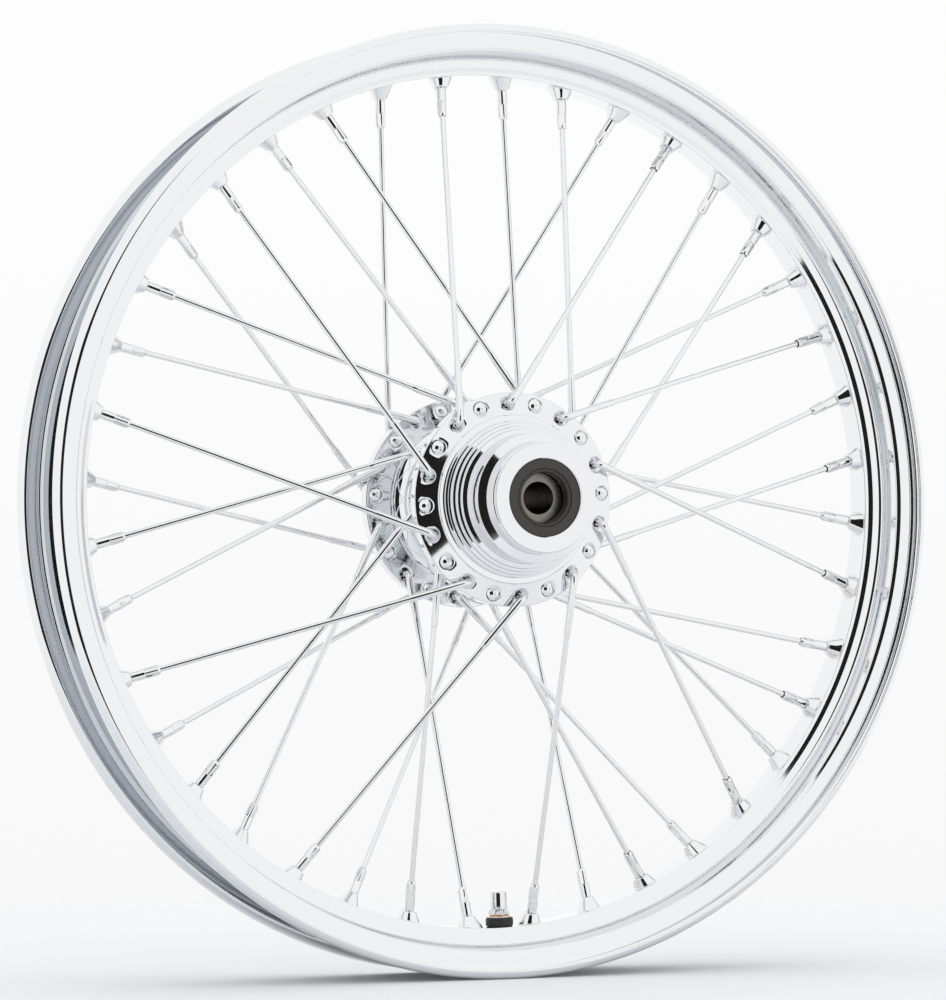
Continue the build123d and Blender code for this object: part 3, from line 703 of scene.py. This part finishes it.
def hub_skins():
    first_hole = {}
    for place, (group, (lead, *_)) in enumerate(GROUPS.items()):
        first_hole[group] = FIRST_NIPPLE - NIPPLE_STEP * place + lead
    skins = []
    # Each hole is sunk for the head on one face and eased for the elbow on the other.
    head_first, elbow_first = (SINK_R, ELBOW_SINK_R), (ELBOW_SINK_R, SINK_R)
    skins += flange_skins(
        (NEAR_FACE, NEAR_INNER),
        ((first_hole["near_inner"], head_first), (first_hole["near_outer"], elbow_first)),
        NEAR_LEAN,
    )
    skins += flange_skins(
        (FAR_FACE, FAR_OUTER),
        ((first_hole["far_outer"], head_first), (first_hole["far_inner"], elbow_first)),
    )

    def turned(points, radii, first):
        skins.append(lathe(rounded(points, radii), HUB_TURNS, first))

    near_start = first_hole["near_inner"] + 180 / HOLES
    far_start = first_hole["far_inner"] + 180 / HOLES
    band_in, band_out = HOLE_BAND
    flange_edges = [FLANGE_EDGE, FLANGE_EDGE]

    def face_at(radius):
        return radius, NEAR_FACE + leaning(radius, NEAR_LEAN)

    # The nose, then each flange's edge, outside the drilled band.
    nose = [face_at(NOSE_R), *((radius, NEAR_FACE - height) for radius, height in NOSE)]
    turned([face_at(band_in), *nose, (BEARING_BORE_R + BORE_EDGE, NEAR_END),
            (BEARING_BORE_R, NEAR_END + BORE_EDGE), (BEARING_BORE_R, NEAR_END + BORE_SEAM)],
           [0.5] * len(nose) + [0.3, 0.3], near_start)
    turned([face_at(band_out), face_at(FLANGE_R), (FLANGE_R, NEAR_INNER), (band_out, NEAR_INNER)],
           flange_edges, near_start)
    turned([(band_out, FAR_FACE), (FLANGE_R, FAR_FACE), (FLANGE_R, FAR_OUTER),
            (band_out, FAR_OUTER)], flange_edges, far_start)
    # The bearing bores, their shoulders and the cavity between them.
    near_shoulder = NEAR_END + CONE_DEPTH + CUP_TO
    far_shoulder = FAR_END - CONE_DEPTH - CUP_TO
    drop = CAVITY_R - SHOULDER_R
    turned([(BEARING_BORE_R, NEAR_END + BORE_SEAM), (BEARING_BORE_R, near_shoulder),
            (SHOULDER_R, near_shoulder), (SHOULDER_R, near_shoulder + SHOULDER_WIDTH),
            (CAVITY_R, near_shoulder + SHOULDER_WIDTH + drop),
            (CAVITY_R, far_shoulder - SHOULDER_WIDTH - drop),
            (SHOULDER_R, far_shoulder - SHOULDER_WIDTH), (SHOULDER_R, far_shoulder),
            (BEARING_BORE_R, far_shoulder), (BEARING_BORE_R, FAR_END - BORE_SEAM)],
           [0.3] * 8, near_start)
    # The barrel between the flanges, its flares as round as the CAD's.
    flare = []
    for turn in range(90, -1, -9):
        inset = FLARE * (1 - cos(radians(turn)))
        flare.append((BARREL_R + inset, NEAR_INNER + FLARE - FLARE * sin(radians(turn))))
    mirrored = [(r, FAR_FACE - (y - NEAR_INNER)) for r, y in reversed(flare)]
    middle = [(BARREL_R, NEAR_INNER + FLARE + 3), (BARREL_R, FAR_FACE - FLARE - 3)]
    barrel = [(band_in, NEAR_INNER), *flare, *middle, *mirrored, (band_in, FAR_FACE)]
    skins.append(lathe(barrel, HUB_TURNS, near_start))
    # The far side: the disc boss up to its bolting face, and the pilot inside that.
    turned([(band_in, FAR_OUTER), (ROTOR_BOSS_R, FAR_OUTER), (ROTOR_BOSS_R, ROTOR_FACE),
            (ROTOR_BAND[1], ROTOR_FACE)], [0.8, 0.6], far_start)
    turned([(ROTOR_BAND[0], ROTOR_FACE), (ROTOR_PILOT_R, ROTOR_FACE), (ROTOR_PILOT_R, FAR_END),
            (BEARING_BORE_R, FAR_END), (BEARING_BORE_R, FAR_END - BORE_SEAM)],
           [0.4, 1.0, 0.5], near_start)
    return skins


def rotor_skins():
    """The disc's bolting face: five patches, each with a blind tapped hole."""
    skins = []
    count = HUB_TURNS // ROTOR_HOLES
    half = 180 / ROTOR_HOLES
    ways = ways_round(count, HUB_RUNGS)
    bottom = ROTOR_FACE - ROTOR_HOLE_DEPTH
    low, high = ((radius, ROTOR_FACE) for radius in ROTOR_BAND)
    for turn in range(ROTOR_HOLES):
        angle = 2 * half * turn
        edge = border(angle - half, angle + half, count, low, high, HUB_RUNGS)
        centre, along, outward = polar(ROTOR_PCD_R, angle), polar(1, angle + 90), polar(1, angle)
        loops = []
        for y, radius in (
            (ROTOR_FACE, 4.0), (ROTOR_FACE - 0.7, ROTOR_HOLE_R), (bottom, ROTOR_HOLE_R),
            (bottom - 1.5, 0.05),
        ):
            level = Vector((0, y, 0))
            loops.append([centre + (along * way[0] + outward * way[1]) * radius + level
                          for way in ways])
        points, faces = skin([edge, *between(edge, loops[0], 4), *loops])
        last = len(points) - len(edge)
        faces.append(tuple(range(last, len(points))))
        skins.append((points, faces))
    return skins


mesh_piece(
    "hub_body", hub_skins() + rotor_skins(), "wheel", HUB_CHROME, ["hub_shell"]
)

# ================================================================ bearings and seals
SEAL_SET_BACK = 0.9
SEAL_ROUND = 0.25
SEAL_TURNS = 144
# (radius, depth) round the rubber: out along its face, over the back, up the lip to the groove.
SEAL_LIP = (
    (17.2, 0.0), (22.2, 0.0), (22.6, 0.4), (22.6, 1.2), (17.6, 1.2), (17.6, 2.3), (16.0, 2.9),
    (16.0, 6.6), (14.6, 6.6), (14.6, 1.3), (15.2, 0.25), (16.2, 0.25), (16.7, 0.7), (17.2, 0.7),
)


def seal_skin(hub_end, into):
    """A seal's rubber, into being the way along Y from this end of the hub to its middle."""
    face = hub_end + into * SEAL_SET_BACK
    corners = [(r, face + into * depth) for r, depth in SEAL_LIP]
    outline = rounded(corners + corners[:2], [SEAL_ROUND] * len(corners), steps=4)
    return lathe(outline[1:-1], SEAL_TURNS, closed=True)


for end, hub_end, into in (("near", NEAR_END, 1), ("far", FAR_END, -1)):
    mesh_piece(
        f"{end}_oil_seal", [seal_skin(hub_end, into)], "wheel", SEAL_RUBBER,
        [f"{end}_seal_lip"],
    )

# Pieces that keep the CAD's mesh and only get a finish.
KEPT = {
    "rim_strip": STRIP_RUBBER,
    "spacer_tube": SPACER_STEEL,
    "spacer_washer": SPACER_STEEL,
    "end_play_shim": SPACER_STEEL,
    "valve_inner_grommet": VALVE_RUBBER,
    "valve_core_body": VALVE_BRASS,
    "valve_core_pin": VALVE_BRASS,
}
for end in ("near", "far"):
    KEPT[f"{end}_bearing_cup"] = BEARING_STEEL
    KEPT[f"{end}_bearing_cone"] = BEARING_STEEL
    KEPT[f"{end}_rollers"] = BEARING_STEEL
    KEPT[f"{end}_bearing_cage"] = CAGE_STEEL
    KEPT[f"{end}_seal_case"] = SEAL_STEEL
    KEPT[f"{end}_seal_spring"] = SEAL_STEEL
for node, finish in KEPT.items():
    for material_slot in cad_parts[node].material_slots:
        material_slot.material = finish

# ================================================================ valve
VALVE_IN = polar(-1, VALVE_ANGLE)
FLATS_SIDES = 72          # points round a piece with flats
CAP_FACETS = 12
PITCH = 0.8
CORE_R = 2.3
AXIS_R = 0.05             # as near to the axis as a turned skin comes
BED_SINK = 0.02
SKIN_GAP = 0.05
VALVE_BED = sqrt(BED_R**2 - GROMMET_R**2) - BED_SINK


def on_valve(pairs, sides=48, section=None):
    """Loops on the valve's axis from (radius, height), heights running towards the hub."""
    start = polar(VALVE_BED, VALVE_ANGLE)
    rings = [(start + VALVE_IN * height, VALVE_IN, radius) for radius, height in pairs]
    return rings_along(rings, sides, section)


def polygon(sides, corner_r):
    """A section that is round inside and cut to flats where it would pass the polygon."""

    def section(angle, radius):
        part = 2 * pi / sides
        off = (angle % part) - part / 2
        return min(radius, corner_r * cos(part / 2) / cos(off))

    return section


def washer(radius, bottom, top, edge):
    outline = [(STEM_R, bottom), (radius, bottom), (radius, top), (STEM_R, top)]
    return skin(on_valve(rounded(outline, [edge, edge], steps=3)), closed=True)


def nut_skin():
    half = [(NUT_CORNER_R, 0.5), (6.1, 0.15), (5.75, 0.0), (STEM_R, 0.0)]
    under = [(radius, RING_TOP + inset) for radius, inset in reversed(half)]
    over = [(radius, NUT_TOP - inset) for radius, inset in half]
    return skin(on_valve(under + over, FLATS_SIDES, polygon(6, NUT_CORNER_R)), closed=True)


def stem_skin():
    """The stem, from its foot inside the rim, up its thread, and back down its bore."""
    foot = VALVE_BED - BED_OUTER_R - SKIN_GAP - INNER_GROMMET_THICK - STEM_FOOT_THICK
    outline = [
        (STEM_BORE_R, foot), (STEM_FOOT_R - 0.2, foot), (STEM_FOOT_R, foot + 0.2),
        (STEM_FOOT_R, foot + STEM_FOOT_THICK), (STEM_R, foot + STEM_FOOT_THICK), (STEM_R, NUT_TOP),
    ]
    height = NUT_TOP
    while height < STEM_TOP - 2 * PITCH:
        outline += [(STEM_THREAD_R - 0.33, height + 0.1), (STEM_THREAD_R, height + PITCH / 2)]
        height += PITCH
    outline += [(3.3, STEM_TOP - PITCH), (3.1, STEM_TOP), (CORE_R, STEM_TOP)]
    outline += [(CORE_R, CORE_SEAT), (STEM_BORE_R, CORE_SEAT)]
    return skin(on_valve(outline), closed=True)


def cap_skin():
    under_crown = CAP_TOP - CAP_CROWN
    outline = [
        (CAP_BORE_R, NUT_TOP), (4.7, NUT_TOP), (CAP_R, NUT_TOP + 0.4), (CAP_R, CAP_TOP - 1.3),
        (4.75, CAP_TOP - 0.6), (4.0, CAP_TOP - 0.1), (3.2, CAP_TOP), (AXIS_R, CAP_TOP),
        (AXIS_R, under_crown), (CAP_BORE_R, under_crown),
    ]
    return skin(on_valve(outline, FLATS_SIDES, polygon(CAP_FACETS, CAP_R)), closed=True)


mesh_piece("valve_grommet", [washer(GROMMET_R, 0.0, GROMMET_HEIGHT, 1.3)], "wheel",
           VALVE_RUBBER, ["valve_outer_grommet"])
mesh_piece("valve_flat_washer", [washer(WASHER_R, GROMMET_HEIGHT, WASHER_TOP, 0.2)], "wheel",
           VALVE_CHROME, ["valve_washer"])
mesh_piece("valve_brass_ring", [washer(RING_R, WASHER_TOP, RING_TOP, 0.3)], "wheel",
           VALVE_BRASS, ["valve_ring"])
mesh_piece("valve_hex_nut", [nut_skin()], "wheel", VALVE_CHROME, ["valve_nut"])
mesh_piece("valve_threaded_stem", [stem_skin()], "wheel", VALVE_CHROME,
           ["valve_stem"])
mesh_piece("valve_dust_cap", [cap_skin()], "valve_cap_body", VALVE_CHROME,
           ["valve_cap"])

# ================================================================ floor, light and camera
# The floor and the card are in metres, and the camera's lengths in millimetres as before.
FLOOR_Z = -LIP_R * MM
FLOOR_HALF = 3.0
FLOOR_FADE = (0.42, 0.95)
FLOOR_COLOUR = (0.86, 0.875, 0.895)
ROOM_LIGHT = 1.08
# How high a ray points, from level, where the backdrop starts and stops getting brighter.
BACKDROP_RISE = (-0.11, 0.12)
BACKDROP_LIGHT = (0.925, 0.985)
# The one dark thing that the chrome mirrors: its distance in front of the wheel, its left and
# right edges and its lower and upper ones.
CARD_Y = -1.2
CARD_X = (-1.10, -0.03)
CARD_Z = (-0.465, 0.61)
CARD_COLOUR = (0.015, 0.014, 0.013)
CORNERS = ((0, 0), (1, 0), (1, 1), (0, 1))


def floor():
    """A pale floor that thins out with distance, so that it has no far edge."""
    mesh = bpy.data.meshes.new("floor")
    ends = (-FLOOR_HALF, FLOOR_HALF)
    corners = [(ends[x], ends[y], FLOOR_Z) for x, y in CORNERS]
    mesh.from_pydata(corners, [], [(0, 1, 2, 3)])
    made = bpy.data.materials.new("floor")
    made.use_nodes = True
    nodes, links = made.node_tree.nodes, made.node_tree.links
    nodes.clear()
    place = nodes.new("ShaderNodeTexCoord")
    length = nodes.new("ShaderNodeVectorMath")
    length.operation = "LENGTH"
    links.new(place.outputs["Object"], length.inputs[0])
    fade = nodes.new("ShaderNodeMapRange")
    fade.interpolation_type = "SMOOTHSTEP"
    fade.inputs["From Min"].default_value = FLOOR_FADE[0]
    fade.inputs["From Max"].default_value = FLOOR_FADE[1]
    links.new(length.outputs["Value"], fade.inputs["Value"])
    paint = nodes.new("ShaderNodeBsdfDiffuse")
    paint.inputs["Color"].default_value = (*FLOOR_COLOUR, 1)
    clear = nodes.new("ShaderNodeBsdfTransparent")
    mixed = nodes.new("ShaderNodeMixShader")
    links.new(fade.outputs["Result"], mixed.inputs["Fac"])
    links.new(paint.outputs["BSDF"], mixed.inputs[1])
    links.new(clear.outputs["BSDF"], mixed.inputs[2])
    out = nodes.new("ShaderNodeOutputMaterial")
    links.new(mixed.outputs["Shader"], out.inputs["Surface"])
    mesh.materials.append(made)
    plane = bpy.data.objects.new("floor", mesh)
    bpy.context.scene.collection.objects.link(plane)


def dark_card():
    """A dark card that only mirrors show: it darkens nothing and hides nothing."""
    mesh = bpy.data.meshes.new("dark_card")
    corners = [(CARD_X[x], CARD_Y, CARD_Z[z]) for x, z in CORNERS]
    mesh.from_pydata(corners, [], [(0, 1, 2, 3)])
    made = bpy.data.materials.new("dark_card")
    made.use_nodes = True
    shader = made.node_tree.nodes["Principled BSDF"]
    shader.inputs["Base Color"].default_value = (*CARD_COLOUR, 1)
    shader.inputs["Roughness"].default_value = 1
    shader.inputs["Specular IOR Level"].default_value = 0
    mesh.materials.append(made)
    card = bpy.data.objects.new("dark_card", mesh)
    bpy.context.scene.collection.objects.link(card)
    card.visible_camera = False
    card.visible_diffuse = False
    card.visible_shadow = False
    card.visible_transmission = False


def studio():
    """A white room, with a plain pale backdrop behind the wheel."""
    world = bpy.data.worlds.new("studio")
    bpy.context.scene.world = world
    world.use_nodes = True
    nodes, links = world.node_tree.nodes, world.node_tree.links
    nodes.clear()
    place = nodes.new("ShaderNodeTexCoord")
    split = nodes.new("ShaderNodeSeparateXYZ")
    links.new(place.outputs["Generated"], split.inputs["Vector"])

    room = nodes.new("ShaderNodeBackground")
    room.inputs["Color"].default_value = (1, 1, 1, 1)
    room.inputs["Strength"].default_value = ROOM_LIGHT
    # What the camera sees past the wheel is the pale backdrop, a little darker lower down.
    height = nodes.new("ShaderNodeMapRange")
    height.inputs["From Min"].default_value = BACKDROP_RISE[0]
    height.inputs["From Max"].default_value = BACKDROP_RISE[1]
    height.inputs["To Min"].default_value = BACKDROP_LIGHT[0]
    height.inputs["To Max"].default_value = BACKDROP_LIGHT[1]
    links.new(split.outputs["Z"], height.inputs["Value"])
    backdrop = nodes.new("ShaderNodeBackground")
    backdrop.inputs["Color"].default_value = (1, 1, 1, 1)
    links.new(height.outputs["Result"], backdrop.inputs["Strength"])
    path = nodes.new("ShaderNodeLightPath")
    chosen = nodes.new("ShaderNodeMixShader")
    links.new(path.outputs["Is Camera Ray"], chosen.inputs["Fac"])
    links.new(room.outputs["Background"], chosen.inputs[1])
    links.new(backdrop.outputs["Background"], chosen.inputs[2])
    out = nodes.new("ShaderNodeOutputWorld")
    links.new(chosen.outputs["Shader"], out.inputs["Surface"])


CAMERA_AZIMUTH = -24.055
CAMERA_ELEVATION = -1.606
CAMERA_DISTANCE = 2624.6
CAMERA_SIDE = -7.156
CAMERA_RISE = 0.798
LENS = 159.04


def camera():
    azimuth, elevation = radians(CAMERA_AZIMUTH), radians(CAMERA_ELEVATION)
    back = Vector((sin(azimuth) * cos(elevation), -cos(azimuth) * cos(elevation), sin(elevation)))
    right = Vector((cos(azimuth), sin(azimuth), 0))
    up = back.cross(right)
    lens = bpy.data.cameras.new("camera")
    lens.lens = LENS
    lens.sensor_width = 36
    lens.clip_end = 50
    seen = bpy.data.objects.new("camera", lens)
    seen.location = (back * CAMERA_DISTANCE + right * CAMERA_SIDE + up * CAMERA_RISE) * MM
    seen.rotation_euler = back.to_track_quat("Z", "Y").to_euler()
    bpy.context.scene.collection.objects.link(seen)
    bpy.context.scene.camera = seen


floor()
dark_card()
studio()
camera()
bpy.context.scene.view_settings.view_transform = "Standard"
